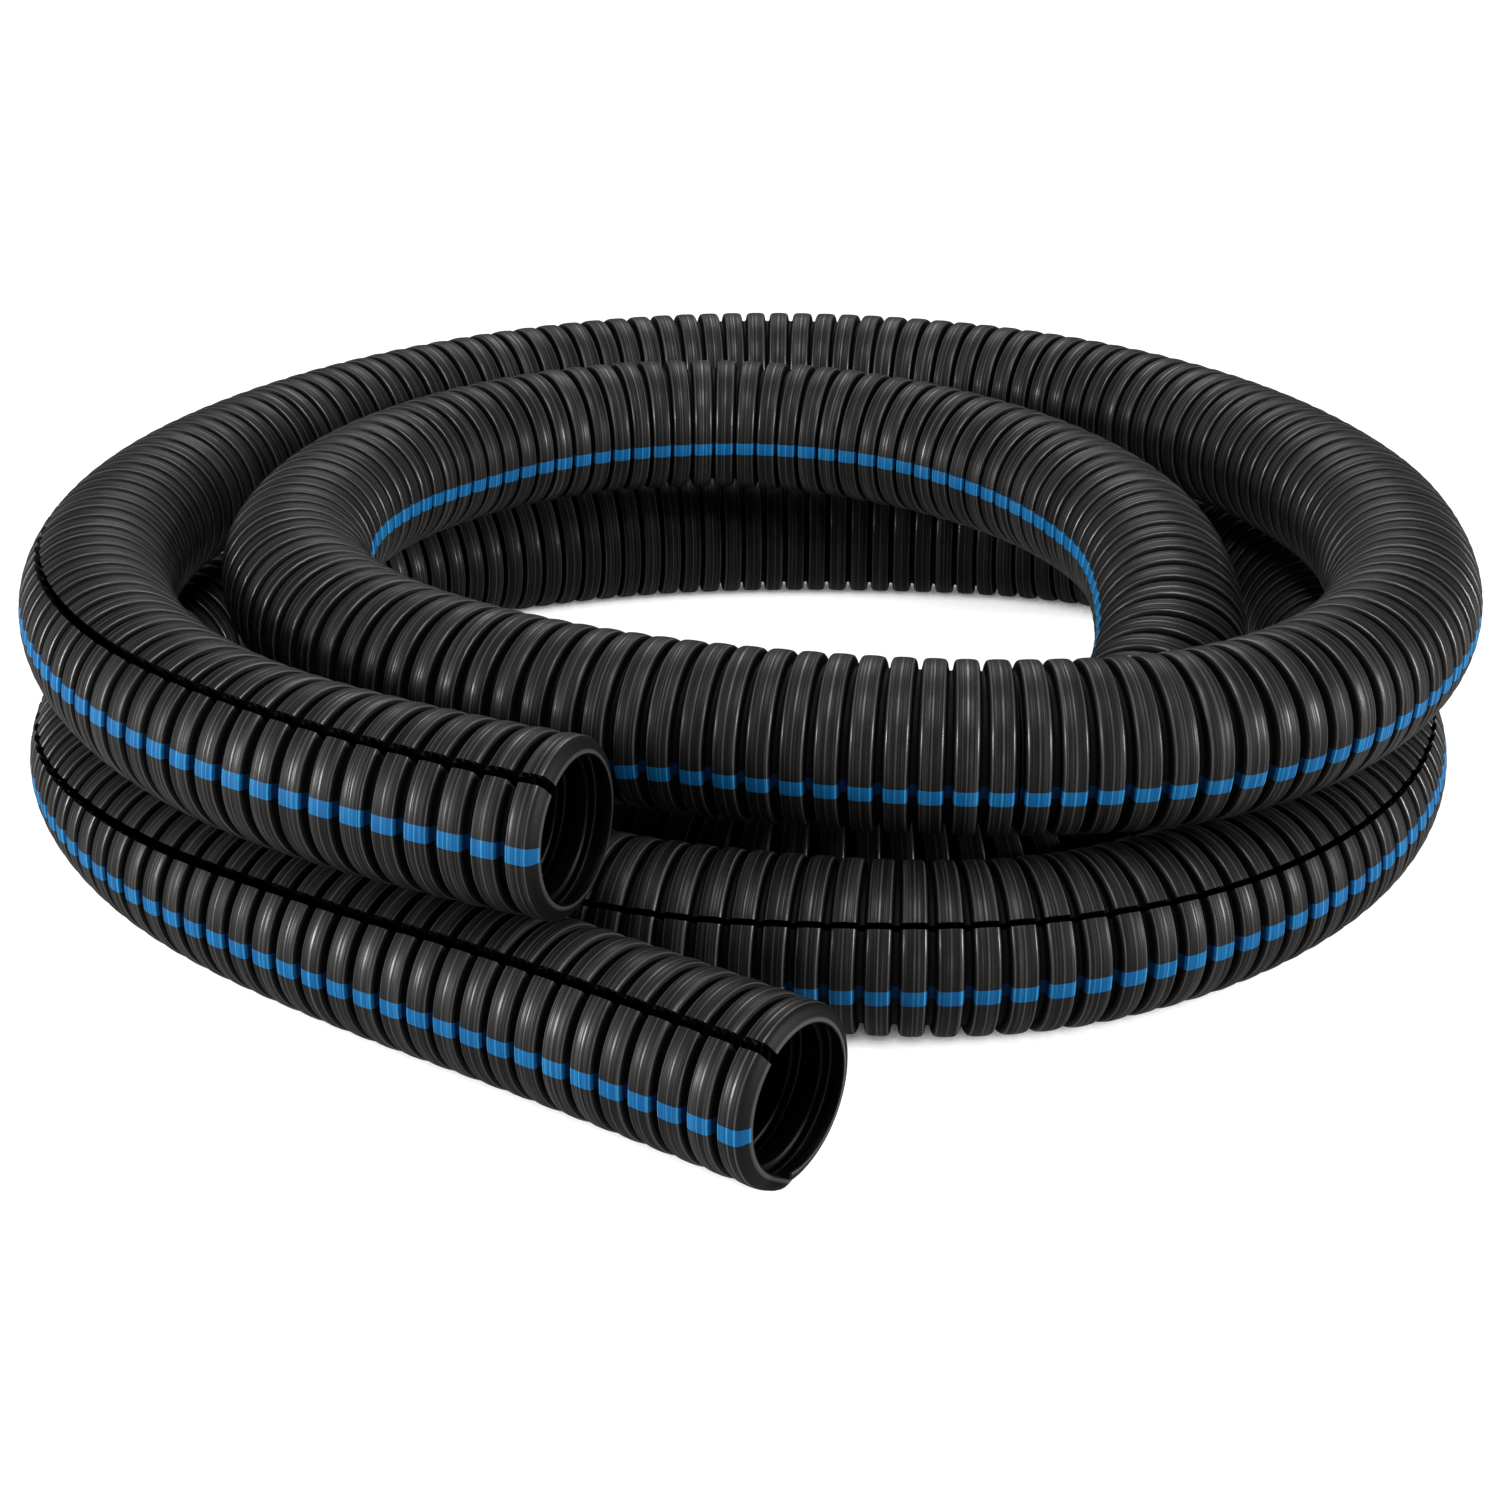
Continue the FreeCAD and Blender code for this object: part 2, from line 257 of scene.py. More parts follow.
# %% Stripe and slit
SMOOTHED_OVER = 0.06
STRIPE = [
    (0.00, 5), (0.10, 9), (0.20, 7), (0.30, 5), (1.00, 4), (1.07, -4), (1.13, -12), (1.22, -12),
    (1.30, -10), (1.40, -100), (1.49, -186), (1.60, -170), (1.70, -171), (1.80, -179),
    (1.90, -180), (2.00, -194), (2.30, -188), (2.60, -170), (2.70, -176), (2.84, -190),
    (3.10, -190), (3.50, -182), (3.60, -180), (4.00, -180),
]
SLIT_FROM_STRIPE = [
    (0.00, 48), (0.11, 49), (0.16, 46), (0.20, 43), (0.26, 36), (0.40, 45), (2.18, 45),
    (2.48, -40), (2.60, -46), (2.64, -49), (2.69, -48), (2.73, -41), (2.86, -28), (3.20, -24),
    (3.50, -18), (3.60, -29), (3.66, -38), (3.73, -48), (3.80, -55), (4.00, -58),
]
GAP = [
    (0.00, 2.9), (0.26, 2.6), (0.55, 0.005), (2.35, 0.005), (2.55, 1.8), (2.90, 1.8), (3.20, 1.3),
    (3.50, 2.3), (3.70, 2.9), (4.00, 3.1),
]


def smoothed(pairs):
    """Straight lines between the pairs, averaged over a bell of 60 mm at each millimetre."""
    places, values = zip(*pairs)
    half = round(SMOOTHED_OVER / EVEN_STEP / 2)
    bell = 1 + np.cos(np.linspace(-math.pi, math.pi, 2 * half + 1))
    reach = np.arange(-half, len(even_run) + half) * EVEN_STEP
    return np.convolve(np.interp(reach, places, values), bell / bell.sum(), mode="valid")


stripe_samples = np.radians(smoothed(STRIPE))
slit_samples = stripe_samples + np.radians(smoothed(SLIT_FROM_STRIPE))
gap_samples = 0.001 * smoothed(GAP)
print("the stripe turns through %.0f degrees" % math.degrees(np.ptp(stripe_samples)))

# %% [markdown]
# ## The ribs
#
# The wall is one thickness of plastic that is sucked into square ribs when it is made. A rib is
# stiff, and the thin web between two ribs is not. So where the hose bends, each rib stays flat
# and keeps its width, and the grooves open on the outside and close on the inside. The outline
# below is half a rib, as four columns: along the hose and out from its middle, first for the
# wall's outside, then for its inside. A crest is slightly crowned and rounds off into its two
# flanks, so the light runs across it from a bright side to a dark one. The rib at a mouth is cut
# off where its flank turns into the rim. At its foot a rib is 7.8 mm long, and no groove closes to
# less than 0.35 mm.

# %% Outline of a rib
RIB_HALF = 0.001 * np.array([
    (0.00, 23.97, 0.00, 22.50),
    (1.30, 23.94, 0.60, 22.50),
    (2.10, 23.86, 1.10, 22.50),
    (2.62, 23.76, 1.40, 22.40),
    (2.94, 23.62, 1.80, 20.60),
    (3.24, 23.32, 2.10, 19.20),
    (3.52, 22.75, 2.40, 19.00),
    (3.74, 21.50, 2.80, 19.00),
    (3.92, 20.85, 3.30, 19.00),
    (4.14, 20.70, 3.90, 19.00),
    (4.50, 20.70, 4.50, 19.00),
])
MOUTH_HALF = 0.001 * np.array([
    (0.00, 23.97, 0.00, 22.50),
    (0.80, 23.96, 0.40, 22.50),
    (1.50, 23.93, 0.80, 22.50),
    (2.10, 23.84, 1.20, 22.50),
    (2.60, 23.62, 1.50, 22.20),
    (3.10, 23.15, 2.00, 19.80),
    (3.55, 22.45, 2.30, 19.30),
    (3.90, 21.65, 2.60, 19.25),
    (4.18, 20.90, 3.00, 19.25),
    (4.38, 20.25, 3.50, 19.25),
    (4.47, 19.90, 4.10, 19.25),
    (4.50, 19.65, 4.44, 19.33),
])
CREST_RADIUS = 0.024
CREST_HALF = 0.0036
FOOT_LENGTH = 0.0078
LEAST_GROOVE = 0.00035
RIB_LENGTH = 0.009
print("rows in a rib:", 2 * len(RIB_HALF) - 1)

# %% [markdown]
# The photograph's ribs aren't quite evenly spaced. Where the hose is pushed together as it is
# coiled they stand 8.4 mm apart, and where it is drawn out 9.4 mm. So the spacing is one more
# table along the hose, and each rib is as long as the room that it has.

# %% Places of the ribs
SPACING = [
    (0.00, 9.3), (0.22, 9.4), (0.75, 9.25), (1.08, 8.6), (1.32, 8.6), (1.60, 9.35), (1.80, 9.35),
    (2.40, 8.7), (2.62, 8.5), (2.80, 8.4), (3.10, 8.6), (3.30, 8.6), (3.60, 9.0), (4.00, 9.0),
]
spacing_samples = 0.001 * smoothed(SPACING)
counted = np.concatenate([[0.0], np.cumsum(np.diff(even_run) / spacing_samples[1:])])
rib_count = round(counted[-1])
rib_edges = np.interp(np.arange(rib_count + 1) * counted[-1] / rib_count, counted, even_run)
rib_centres = (rib_edges[1:] + rib_edges[:-1]) / 2
rib_rooms = np.diff(rib_edges)
least, most = 1000 * rib_rooms.min(), 1000 * rib_rooms.max()
print("%d ribs, %.2f to %.2f mm apart" % (rib_count, least, most))


def mirrored(half):
    """The same half outline on the other side of the rib: its distances along change sign."""
    return half[::-1] * np.array([-1.0, 1.0, -1.0, 1.0])


def rib_rows(first, last):
    """Outline rows of the ribs first to last, and which rib each row belongs to."""
    whole = np.vstack([mirrored(RIB_HALF), RIB_HALF[1:-1]])
    rows = np.vstack([np.tile(whole, (last - first, 1)), RIB_HALF[-1:]])
    ribs = np.append(np.repeat(np.arange(first, last), len(whole)), last - 1)
    half_count = len(RIB_HALF)
    if first == 0:
        rows = np.vstack([mirrored(MOUTH_HALF), rows[half_count:]])
        ribs = np.concatenate([np.zeros(len(MOUTH_HALF), int), ribs[half_count:]])
    if last == rib_count:
        rows = np.vstack([rows[:-half_count], MOUTH_HALF])
        ribs = np.concatenate([ribs[:-half_count], np.full(len(MOUTH_HALF), last - 1)])
    return rows, ribs


# %% Rings
OUTER_LIP = np.radians([0.0, 0.25, 0.8, 2.0, 4.5])
INNER_LIP = np.radians([0.0])
BURR_ANGLE = math.radians(-112)
BURR_WIDTH = math.radians(7)
BURR_LENGTH = 0.0024
BURR_ROOT = 0.003
BURR_POWER = 6
NO_BEND = 1e-6


def ring_frame(centres, offsets):
    """Middle, left and upper direction of a ring at an offset from its rib's centre.
    A ring turns with the hose by a share of its offset, none where the bend is wide. The share
    is what brings the rib's foot on the inside of a bend down to the room that is left there."""
    squeeze = CREST_RADIUS * np.interp(centres, even_run, bend_samples)
    full_room = np.interp(centres, rib_centres, rib_rooms)
    foot = FOOT_LENGTH * full_room / RIB_LENGTH
    room = full_room * (1 - squeeze) - LEAST_GROOVE
    share = np.clip((1 - room / foot) / np.maximum(squeeze, NO_BEND), 0, 1)
    middle = between(middle_samples, centres + offsets)
    direction = between(direction_samples, centres + offsets * share)
    direction /= np.linalg.norm(direction, axis=1, keepdims=True)
    left = np.cross([0.0, 0.0, 1.0], direction)
    left /= np.linalg.norm(left, axis=1, keepdims=True)
    return middle, left, np.cross(direction, left)


def wall_side(ribs, outline_offsets, radii, columns, lip_steps):
    """A grid of points on one side of the wall, from one lip of the slit round to the other.
    A point is the ring's middle plus its radius times left by the cosine and up by the sine of
    its angle. A lip stands off the slit's middle by the arc sine of half the gap over the radius.
    The outer columns next to a lip are narrow, so that a closed slit doesn't break the shading.
    The saw left a small burr at the bottom of the lower mouth: there the rim is pushed out along
    the hose, by a steep bell over the angle."""
    centres = rib_centres[ribs]
    offsets = outline_offsets * rib_rooms[ribs] / RIB_LENGTH
    middle, left, upper = ring_frame(centres, offsets)
    at = centres + offsets
    slit = np.interp(at, even_run, slit_samples)
    stripe = np.interp(at, even_run, stripe_samples)
    lip = np.arcsin(np.interp(at, even_run, gap_samples) / 2 / radii)
    even_count = columns - 2 * len(lip_steps) + 3
    even = np.linspace(lip_steps[-1], 2 * math.pi - lip_steps[-1], even_count)
    turned = np.concatenate([lip_steps[:-1], even, (2 * math.pi - lip_steps[:-1])[::-1]])
    share = turned / (2 * math.pi)
    angle = (slit + lip)[:, None] + (2 * math.pi - 2 * lip)[:, None] * share
    out = radii[:, None]
    points = middle[:, None, :] + left[:, None, :] * (out * np.cos(angle))[:, :, None]
    points = points + upper[:, None, :] * (out * np.sin(angle))[:, :, None]
    from_burr = np.remainder(angle - BURR_ANGLE + math.pi, 2 * math.pi) - math.pi
    at_rim = np.clip((at - hose_length + BURR_ROOT) / BURR_ROOT, 0, 1)
    burr = BURR_LENGTH * np.exp(-(from_burr / BURR_WIDTH) ** BURR_POWER) * at_rim[:, None]
    points = points + np.cross(left, upper)[:, None, :] * burr[:, :, None]
    around = (angle - stripe[:, None]) * CREST_RADIUS
    along = np.broadcast_to(at[:, None], angle.shape)
    across = np.broadcast_to(np.abs(outline_offsets)[:, None], angle.shape)
    return points, np.stack([along, around, across], axis=-1)


# %% A stretch of hose
# Faces in the grooves and in the bore get their own materials, whose colours are painted darker as
# shade.
SHADED_GROOVE_FINISH, SHADED_BORE_FINISH = 1, 2
SHARP_EDGE = math.radians(50)


def hose_stretch(name, first, last, columns, bore_columns):
    """A closed piece of slit hose from rib first to rib last.
    Each row goes round the outside from lip to lip and back round the inside, so the rows make
    one tube of four-sided faces, and the first and last row close it."""
    rows, ribs = rib_rows(first, last)
    outside, outside_run = wall_side(ribs, rows[:, 0], rows[:, 1], columns, OUTER_LIP)
    inside, inside_run = wall_side(ribs, rows[:, 2], rows[:, 3], bore_columns, INNER_LIP)
    points = np.concatenate([outside, inside[:, ::-1]], axis=1)
    hose_run = np.concatenate([outside_run, inside_run[:, ::-1]], axis=1)
    count, loop = points.shape[:2]
    row = (np.arange(count - 1) * loop)[:, None]
    here = np.arange(loop)[None, :]
    after = (here + 1) % loop
    faces = np.stack([row + here, row + after, row + loop + after, row + loop + here], axis=-1)
    ends = [list(range(loop))[::-1], list(range((count - 1) * loop, count * loop))]
    mesh = bpy.data.meshes.new(name)
    mesh.from_pydata(points.reshape(-1, 3), [], faces.reshape(-1, 4).tolist() + ends)
    stored = mesh.attributes.new("hose_run", "FLOAT_VECTOR", "POINT")
    stored.data.foreach_set("vector", hose_run.reshape(-1, 3).ravel())
    far = np.maximum(np.abs(rows[:-1, 0]), np.abs(rows[1:, 0]))
    in_groove = far > CREST_HALF
    if first == 0:
        in_groove[:len(MOUTH_HALF)] = False
    if last == rib_count:
        in_groove[-len(MOUTH_HALF):] = False
    in_bore = here[0] >= columns
    finish = np.where(in_bore[None, :], SHADED_BORE_FINISH, in_groove[:, None] * SHADED_GROOVE_FINISH)
    finish = np.append(finish.ravel(), [SHADED_BORE_FINISH, SHADED_BORE_FINISH])
    mesh.polygons.foreach_set("material_index", finish.astype(np.int32))
    mesh.shade_smooth()
    mesh.set_sharp_from_angle(angle=SHARP_EDGE)
    piece = bpy.data.objects.new(name, mesh)
    bpy.context.scene.collection.objects.link(piece)
    return piece, between(middle_samples, outside_run[:, 0, 0])


# %% [markdown]
# ## The hose, stretch by stretch
#
# One mesh for the whole hose would be too heavy to handle, so it is made in the same stretches
# as the CAD model, each cut in the bottom of a groove, where no cut shows. The ends are seen
# close and from inside, so they have more columns of faces round them, outside and in the bore.

# %% Make the stretches
USUAL_COLUMNS = (56, 10)
COLUMNS = {
    "upper_end": (66, 32), "lower_end": (80, 44), "upper_turn": (48, 10), "inner_turn": (48, 10),
    "dive_and_fold": (44, 10),
}
hose_pieces = {}
hose_paths = {}
first_point, first_rib = 0, 0
for name, points in stretch_points.items():
    first_point += len(points)
    if first_point < len(route):
        cut = (route[first_point - 1] + route[first_point]) / 2 - COIL_CENTRE
        last_rib = int(np.abs(rib_edges - nearest_run(cut)).argmin())
    else:
        last_rib = rib_count
    columns, bore_columns = COLUMNS.get(name, USUAL_COLUMNS)
    hose_pieces[name], hose_paths[name] = hose_stretch(
        name + "_hose", first_rib, last_rib, columns, bore_columns)
    faces = len(hose_pieces[name].data.polygons)
    print("%s: %d ribs, %d faces" % (name, last_rib - first_rib, faces))
    first_rib = last_rib

# %% Stand for the CAD nodes
STANDS_FOR = {
    "upper_end": ["upper_end", "upper_end_stripe"],
    "dive_and_fold": ["crossover", "hidden_fold"],
    "lower_turn_front": ["lower_turn"],
    "lower_turn_back": ["lower_turn"],
    "lower_end": ["lower_end", "lower_end_stripe"],
}
for name, piece in hose_pieces.items():
    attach(piece, "root")
    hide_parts(*STANDS_FOR.get(name, [name]))

# %% [markdown]
# ## Writing shaders as sums
#
# A finish is worked out from a few numbers that change over the surface. The small class below
# stands for one such number, so that a mask can be written as a sum, and each sign in the sum
# adds one Math node.

# %% A number in a shader
class Signal:
    """A socket of a material's node tree that can be added, multiplied and compared."""

    def __init__(self, tree, socket=None):
        self.tree = tree
        self.socket = socket

    def node(self, kind, inputs, output=0, **settings):
        """Any other node: its settings first, then the values or links of its sockets."""
        made = self.tree.nodes.new("ShaderNode" + kind)
        for setting, value in settings.items():
            setattr(made, setting, value)
        for place, value in inputs.items():
            if isinstance(value, Signal):
                self.tree.links.new(value.socket, made.inputs[place])
            else:
                made.inputs[place].default_value = value
        return Signal(self.tree, made.outputs[output])

    def math(self, operation, *values):
        return self.node("Math", dict(enumerate(values)), operation=operation)

    def __add__(self, other):
        return self.math("ADD", self, other)

    def __sub__(self, other):
        return self.math("SUBTRACT", self, other)

    def __rsub__(self, other):
        return self.math("SUBTRACT", other, self)

    def __mul__(self, other):
        return self.math("MULTIPLY", self, other)

    def __truediv__(self, other):
        return self.math("DIVIDE", self, other)

    def __rtruediv__(self, other):
        return self.math("DIVIDE", other, self)

    def step_up(self, low, high):
        """0 below low, 1 above high, and an ease curve between them."""
        return self.node("MapRange", {"Value": self, "From Min": low, "From Max": high},
                         interpolation_type="SMOOTHSTEP")

    def between(self, start, full, fall, end):
        """1 from full to fall, easing to 0 at start and at end."""
        return self.step_up(start, full) * (1 - self.step_up(fall, end))

    def colours(self, low, high):
        """The colour low where the number is 0, and high where it is 1. Either may be worked out
        by nodes."""
        return self.node("Mix", {0: self, 6: low, 7: high}, output=2, data_type="RGBA")

    __radd__ = __add__
    __rmul__ = __mul__


def new_material(name):
    """A material with an empty node tree, as a signal to build on, and its output node."""
    material = bpy.data.materials.new(name)
    material.use_nodes = True
    material.node_tree.nodes.clear()
    output = material.node_tree.nodes.new("ShaderNodeOutputMaterial")
    return material, Signal(material.node_tree), output


def hose_signals(build):
    """Metres along the hose, metres round from the stripe, and the distance from a rib's middle."""
    place = build.node("Attribute", {}, output="Vector", attribute_name="hose_run")
    split = build.tree.nodes.new("ShaderNodeSeparateXYZ")
    build.tree.links.new(place.socket, split.inputs[0])
    return [Signal(build.tree, socket) for socket in split.outputs]


# %% [markdown]
# ## Black plastic and its blue stripe
#
# The hose is pressed out of a die as a plain tube and shaped by moulds that travel round with it.
# Both leave fine lines round each rib, some dull and some bright. The bright lines are also painted
# a lighter colour, a painted highlight, so that a highlight breaks up into streaks. The stripe is a
# second colour in the same wall, with the same lines and the same painted highlight in it.
#
# The lines that every rib has are given first, in metres from the rib's middle, and those of a
# mouth in metres from its rim. Two numbers say where a line starts to change and where it has
# changed. Four say where it starts, is full, begins to fade and ends. Besides the stripe's edges
# and end, these lines are painted light and shade: painted highlights round a rib's middle, on its
# crest edges, on a mouth's rim and shoulder line and on the bore's rings, and painted shade on a
# fine double line, on the flanks and on a mouth's shoulder.

# %% Lines on the ribs
GIRTH = 2 * math.pi * CREST_RADIUS
STRIPE_SIDE = (0.00215, 0.00237)
# Painted highlight: a thin lighter line round the middle of each rib.
MIDDLE_HIGHLIGHT = (0.0001, 0.00028)
# Painted shade: a darker double line on each side of the middle, where a fine groove would lie in
# shade.
DOUBLE_LINE_SHADE = (0.00034, 0.00044, 0.00062, 0.00080)
# Painted highlight: a lighter line along both edges of each crest.
CREST_EDGE_HIGHLIGHT = (0.00262, 0.00280, 0.00296, 0.00316)
# Painted shade: the flanks lose the painted highlights and keep the deep tone.
FLANK_SHADE = (0.0030, 0.0034)
# Painted highlight: a lighter line on the rim of each mouth.
RIM_HIGHLIGHT_SPAN = (0.0001, 0.00035)
STRIPE_END = (0.00005, 0.00015)
# Painted shade: the rounded shoulder behind each mouth's rim is painted darker.
SHOULDER_SHADE_SPAN = (0.0021, 0.0024)
# Painted highlight: a lighter line where a mouth's shoulder meets the crest.
SHOULDER_HIGHLIGHT = (0.0022, 0.0024, 0.0026, 0.0028)
# Painted highlight: a lighter ring on each edge of the bore's corrugation.
BORE_RING_HIGHLIGHT = (0.00125, 0.00135, 0.00145, 0.00155)


def stripe_mask(around):
    """1 on the stripe: the distance from its middle, folded back at each full girth."""
    from_stripe = around.math("PINGPONG", around, GIRTH / 2)
    return 1 - from_stripe.step_up(*STRIPE_SIDE)


print("the stripe is %.1f mm wide" % (1000 * sum(STRIPE_SIDE)))

# %% Crest finish
# The second colour of each pair is the lighter colour of a painted highlight.
DEEP_BLACK, HIGHLIGHT_BLACK = (0.0026, 0.0024, 0.0022, 1), (0.105, 0.0990, 0.0930, 1)
DEEP_BLUE, HIGHLIGHT_BLUE = (0.0002, 0.115, 0.34, 1), (0.055, 0.47, 0.87, 1)
FINE_LINES, FINE_TURN = 2700, 0.2
BROAD_LINES, BROAD_TURN, BROAD_PLACE = 800, 0.35, 7
STREAK_LIGHT, MIDDLE_HIGHLIGHT_SHARE, EDGE_HIGHLIGHT_SHARE, RIM_HIGHLIGHT_SHARE = 0.5, 0.42, 0.62, 0.6
DOUBLE_LINE_SHADE_DEPTH, SHOULDER_SHADE_DEPTH = 0.85, 0.8
FINE_SHARE = 0.62
STREAK_STEP = (0.46, 0.70)

hose_black, build, hose_output = new_material("hose_black")
along, around, across = hose_signals(build)
turn = around / CREST_RADIUS
right, high = turn.math("COSINE", turn), turn.math("SINE", turn)
fine_place = build.node("CombineXYZ", {
    0: along * FINE_LINES, 1: right * FINE_TURN, 2: high * FINE_TURN})
fine = build.node("TexNoise", {
    "Vector": fine_place, "Detail": 2.0, "Roughness": 0.6, "Scale": 1.0})
broad_place = build.node("CombineXYZ", {
    0: along * BROAD_LINES + BROAD_PLACE, 1: right * BROAD_TURN, 2: high * BROAD_TURN})
broad = build.node("TexNoise", {"Vector": broad_place, "Detail": 1.0, "Scale": 1.0})
streaks = (fine * FINE_SHARE + broad * (1 - FINE_SHARE)).step_up(*STREAK_STEP)
object_place = build.node("TexCoord", {}, output="Object")
cloud = build.node("TexNoise", {"Vector": object_place, "Detail": 2.0, "Scale": 45.0})
grain = build.node("TexNoise", {"Vector": object_place, "Detail": 2.0, "Scale": 2600.0})
from_mouth = along.math("PINGPONG", along, hose_length / 2)
# Painted shade on a mouth's shoulder.
shoulder_shade = 1 - from_mouth.step_up(*SHOULDER_SHADE_SPAN)
# Painted highlight on a mouth's rim and shoulder line.
rim_and_shoulder_highlight = (1 - from_mouth.step_up(*RIM_HIGHLIGHT_SPAN)) + from_mouth.between(*SHOULDER_HIGHLIGHT)
# Painted shade on the flanks.
flank_shade = across.step_up(*FLANK_SHADE)
# Painted highlight on the crest edges, none on a mouth's shoulder.
crest_edge_highlight = across.between(*CREST_EDGE_HIGHLIGHT) * (1 - shoulder_shade)
# Painted highlight round the rib's middle.
middle_highlight = 1 - across.step_up(*MIDDLE_HIGHLIGHT)
# Painted shade on the fine double line.
double_line_shade = across.between(*DOUBLE_LINE_SHADE)
on_stripe = stripe_mask(around) * from_mouth.step_up(*STRIPE_END)
# light sums the painted highlights: on the streaks' real lines, round the rib's middle, on its
# crest edges and on a mouth's rim and shoulder line. The painted shade of the double line, the
# flanks and a mouth's shoulder takes it away. Each colour goes from its deep tone up to its painted
# highlight colour.
light = streaks * (1 - double_line_shade * DOUBLE_LINE_SHADE_DEPTH) * STREAK_LIGHT + middle_highlight * MIDDLE_HIGHLIGHT_SHARE
light = light * (1 - flank_shade) * (1 - shoulder_shade * SHOULDER_SHADE_DEPTH)
light = light + crest_edge_highlight * EDGE_HIGHLIGHT_SHARE + rim_and_shoulder_highlight * RIM_HIGHLIGHT_SHARE
black = light.colours(DEEP_BLACK, HIGHLIGHT_BLACK)
blue = light.colours(DEEP_BLUE, HIGHLIGHT_BLUE)
colour = on_stripe.colours(black, blue)
roughness = 0.52 - light * 0.20 + cloud * 0.08
bump = build.node("Bump", {
    "Height": fine * 0.00008 + grain * 0.000006, "Strength": 0.7, "Distance": 1.0})
surface = build.node("BsdfPrincipled", {
    "Base Color": colour, "Roughness": roughness, "Normal": bump, "Specular IOR Level": 0.24,
    "Coat Weight": light * (1 - on_stripe * 0.5), "Coat Roughness": 0.26})
build.tree.links.new(surface.socket, hose_output.inputs["Surface"])

# %% [markdown]
# The grooves get a plainer, less glossy finish, and their colours are painted darker, black and
# dark blue, as painted shade for the little light that reaches them. The bore was never touched by
# a mould. It is smooth and painted darker still, as painted shade inside the hose, with a thin
# lighter ring on each edge of its corrugation as a painted highlight.

# %% Groove finish
GROOVE_LINES = 2600
# Painted shade: the groove's black and blue are darker than the crest's.
SHADED_GROOVE_BLACK, LINE_BLACK = (0.0012, 0.0012, 0.0013, 1), (0.004, 0.004, 0.004, 1)
SHADED_GROOVE_BLUE, LINE_BLUE = (0.001, 0.018, 0.065, 1), (0.002, 0.035, 0.115, 1)
shaded_groove_black, build, groove_output = new_material("shaded_groove_black")
along, around, _ = hose_signals(build)
lines = build.node("TexNoise", {
    "W": along * GROOVE_LINES, "Detail": 2.0, "Scale": 1.0}, noise_dimensions="1D")
black = lines.colours(SHADED_GROOVE_BLACK, LINE_BLACK)
blue = lines.colours(SHADED_GROOVE_BLUE, LINE_BLUE)
colour = stripe_mask(around).colours(black, blue)
surface = build.node("BsdfPrincipled", {
    "Base Color": colour, "Roughness": 0.5 + lines * 0.2, "Specular IOR Level": 0.12})
build.tree.links.new(surface.socket, groove_output.inputs["Surface"])

# %% Bore finish
BORE_LINES = 1800
# The bore is painted darker than the crest as shade inside the hose, and its rings are painted
# lighter as a highlight.
BORE_SHADE, RING_HIGHLIGHT_GREY = (0.0008, 0.0008, 0.0008, 1), (0.070, 0.070, 0.070, 1)
bore_shade_and_highlight, build, bore_output = new_material("bore_shade_and_highlight")
along, _, across = hose_signals(build)
lines = build.node("TexNoise", {
    "W": along * BORE_LINES, "Detail": 2.0, "Scale": 1.0}, noise_dimensions="1D")
# Painted highlight on the edges of the bore's corrugation.
ring_highlight = across.between(*BORE_RING_HIGHLIGHT)
black = ring_highlight.colours(BORE_SHADE, RING_HIGHLIGHT_GREY)
surface = build.node("BsdfPrincipled", {
    "Base Color": black, "Roughness": 0.34 + lines * 0.2, "Specular IOR Level": 0.18})
build.tree.links.new(surface.socket, bore_output.inputs["Surface"])

for piece in hose_pieces.values():
    piece.data.materials.append(hose_black)
    piece.data.materials.append(shaded_groove_black)
    piece.data.materials.append(bore_shade_and_highlight)
print("materials:", [material.name for material in bpy.data.materials])

# %% [markdown]
# ## Floor, backdrop and light
#
# The hose lies on a plain pale floor that looks white to the camera. The floor's own glow stands
# for the light of a large white studio. It is held back where the coil shades the floor, so that
# the deep gaps between the turns stay dark.

# %% Floor
FLOOR_SIDE = 6.0
FLOOR_GAP = 0.0002
SHADE_REACH = 0.12
SHADED_TO_OPEN = (0.03, 0.14)
MIRRORED_GLOW = 0.15
FLOOR_GREY = (0.30, 0.30, 0.30, 1)
floor_mesh = bpy.data.meshes.new("floor")
floor_mesh.from_pydata(
    [(-FLOOR_SIDE, -FLOOR_SIDE, 0), (FLOOR_SIDE, -FLOOR_SIDE, 0),
     (FLOOR_SIDE, FLOOR_SIDE, 0), (-FLOOR_SIDE, FLOOR_SIDE, 0)], [], [(0, 1, 2, 3)])
floor = bpy.data.objects.new("floor", floor_mesh)
floor.location.z = -FLOOR_GAP
bpy.context.scene.collection.objects.link(floor)
floor_white, build, floor_output = new_material("floor_white")
camera_ray = build.node("LightPath", {}, output="Is Camera Ray")
glossy_ray = build.node("LightPath", {}, output="Is Glossy Ray")
openness = build.node("AmbientOcclusion", {"Distance": SHADE_REACH}, output="AO", samples=16)
glow = (camera_ray + glossy_ray * MIRRORED_GLOW) * openness.step_up(*SHADED_TO_OPEN)
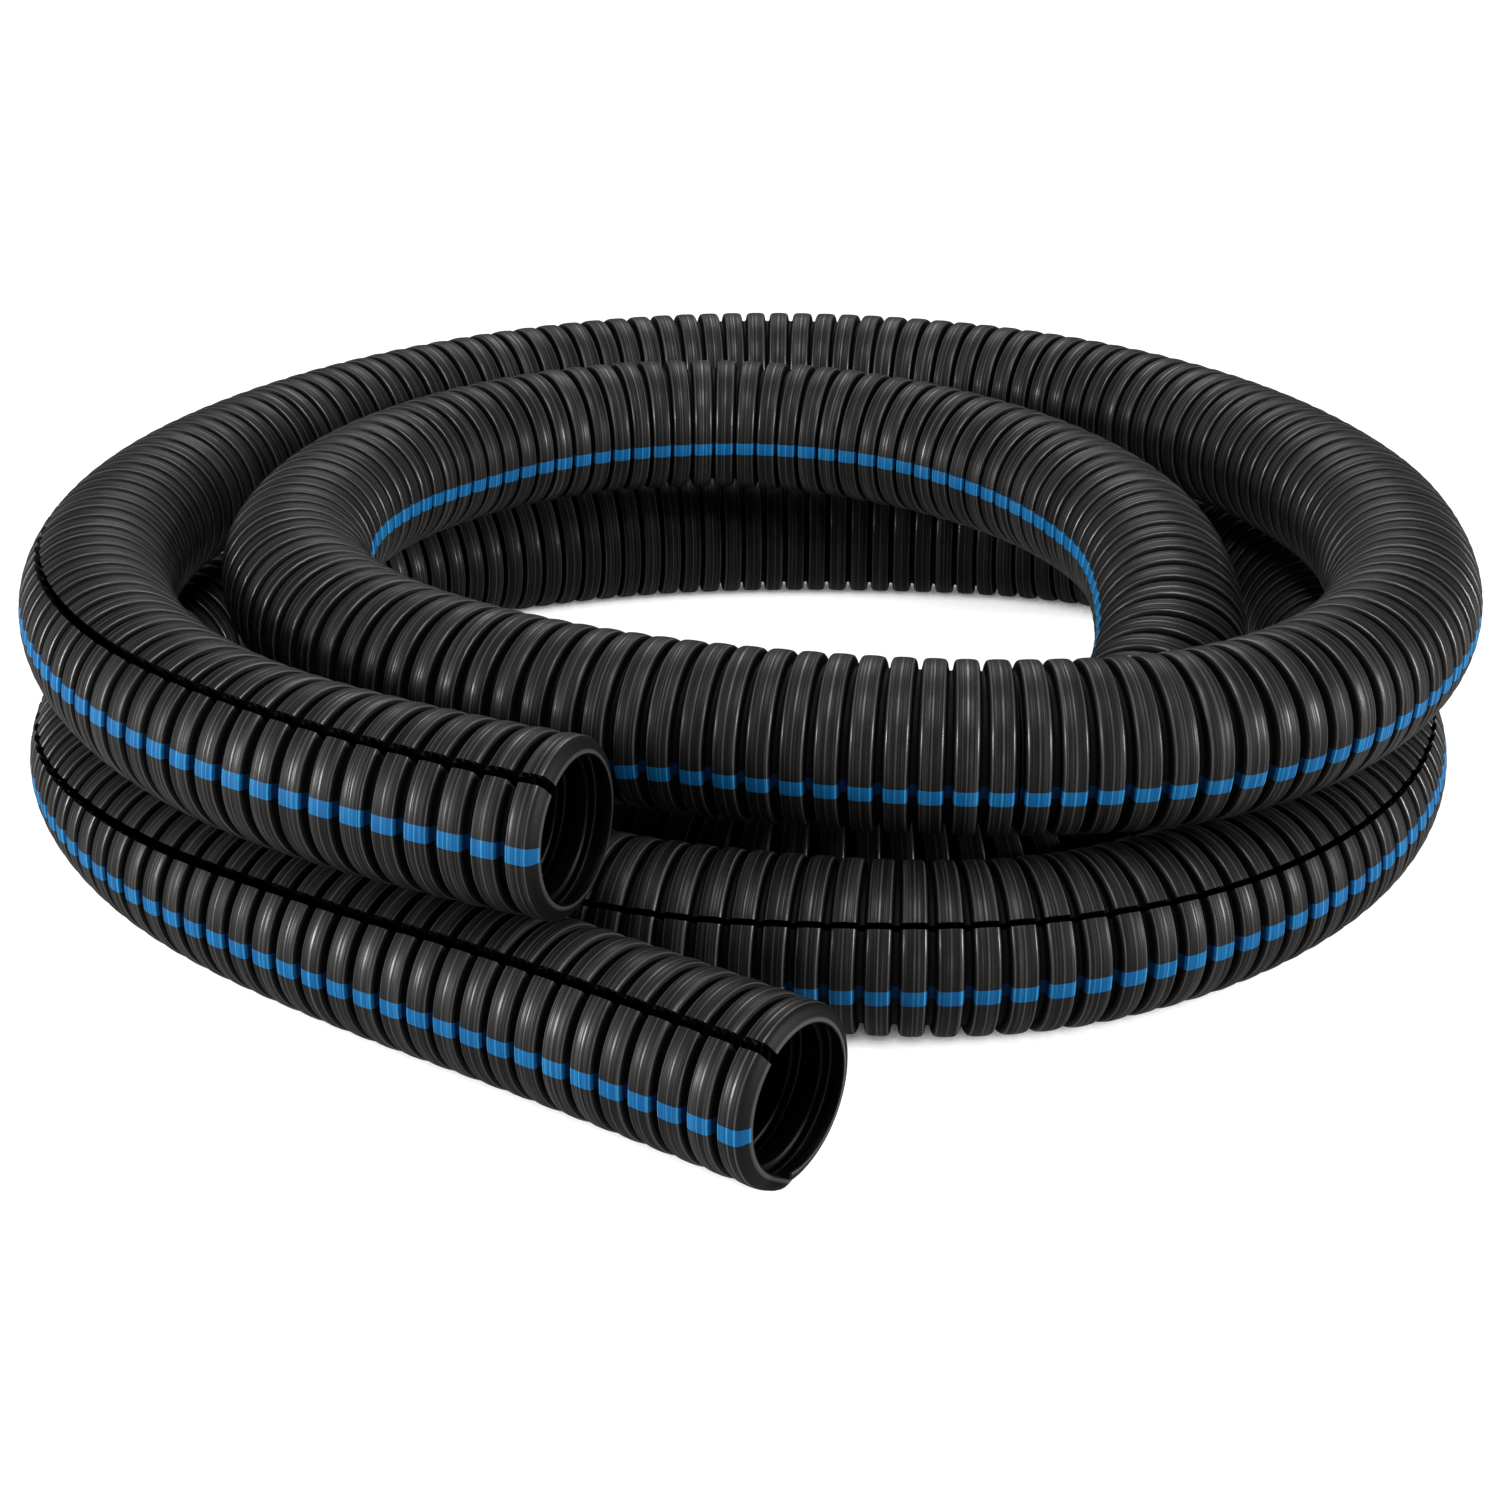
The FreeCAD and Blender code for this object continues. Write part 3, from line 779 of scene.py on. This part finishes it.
surface = build.node("BsdfPrincipled", {
    "Base Color": FLOOR_GREY, "Roughness": 0.9, "Specular IOR Level": 0.0,
    "Emission Color": (1, 1, 1, 1), "Emission Strength": glow})
build.tree.links.new(surface.socket, floor_output.inputs["Surface"])
floor_mesh.materials.append(floor_white)

# %% World
SKY, SKY_IN_GLOSS = 0.13, 0.09
world = bpy.data.worlds.new("studio")
bpy.context.scene.world = world
world.use_nodes = True
tree = world.node_tree
tree.nodes.clear()
world_output = tree.nodes.new("ShaderNodeOutputWorld")
build = Signal(tree)
camera_ray = build.node("LightPath", {}, output="Is Camera Ray")
glossy_ray = build.node("LightPath", {}, output="Is Glossy Ray")
sky = SKY - glossy_ray * (SKY - SKY_IN_GLOSS)
background = build.node("Background", {
    "Color": (1, 1, 1, 1), "Strength": camera_ray.math("MAXIMUM", camera_ray, sky)})
tree.links.new(background.socket, world_output.inputs["Surface"])
print("the world's light is %.2f, and %.2f in gloss" % (SKY, SKY_IN_GLOSS))

# %% [markdown]
# The photograph's light comes from a large lamp nearly overhead, which draws a bright streak
# along the top of each turn, and from two low lamps far out at the sides, which light the two
# open ends. A lamp behind brightens the coil's back edge, and a weak one in front lifts the
# shadows. Each lamp below has its place, its side in metres and its power in watts.

# %% Lamps
AIM = (0.0, 0.0, 0.05)
LAMPS = {
    "key": ((0.0, -0.50, 1.40), 0.7, 9),
    "left": ((-1.6, -0.65, 0.48), 0.5, 24),
    "right": ((1.6, -0.65, 0.48), 0.5, 22),
    "back": ((0.0, 1.35, 1.35), 1.0, 9),
    "fill": ((0.2, -2.2, 0.35), 0.5, 3),
}
for name, (location, size, power) in LAMPS.items():
    data = bpy.data.lights.new(name, "AREA")
    data.size = size
    data.energy = power
    lamp = bpy.data.objects.new(name, data)
    lamp.location = location
    lamp.rotation_euler = (Vector(location) - Vector(AIM)).to_track_quat("Z", "Y").to_euler()
    bpy.context.scene.collection.objects.link(lamp)
bpy.context.scene.view_settings.view_transform = "Standard"
print("lamps:", sorted(LAMPS))
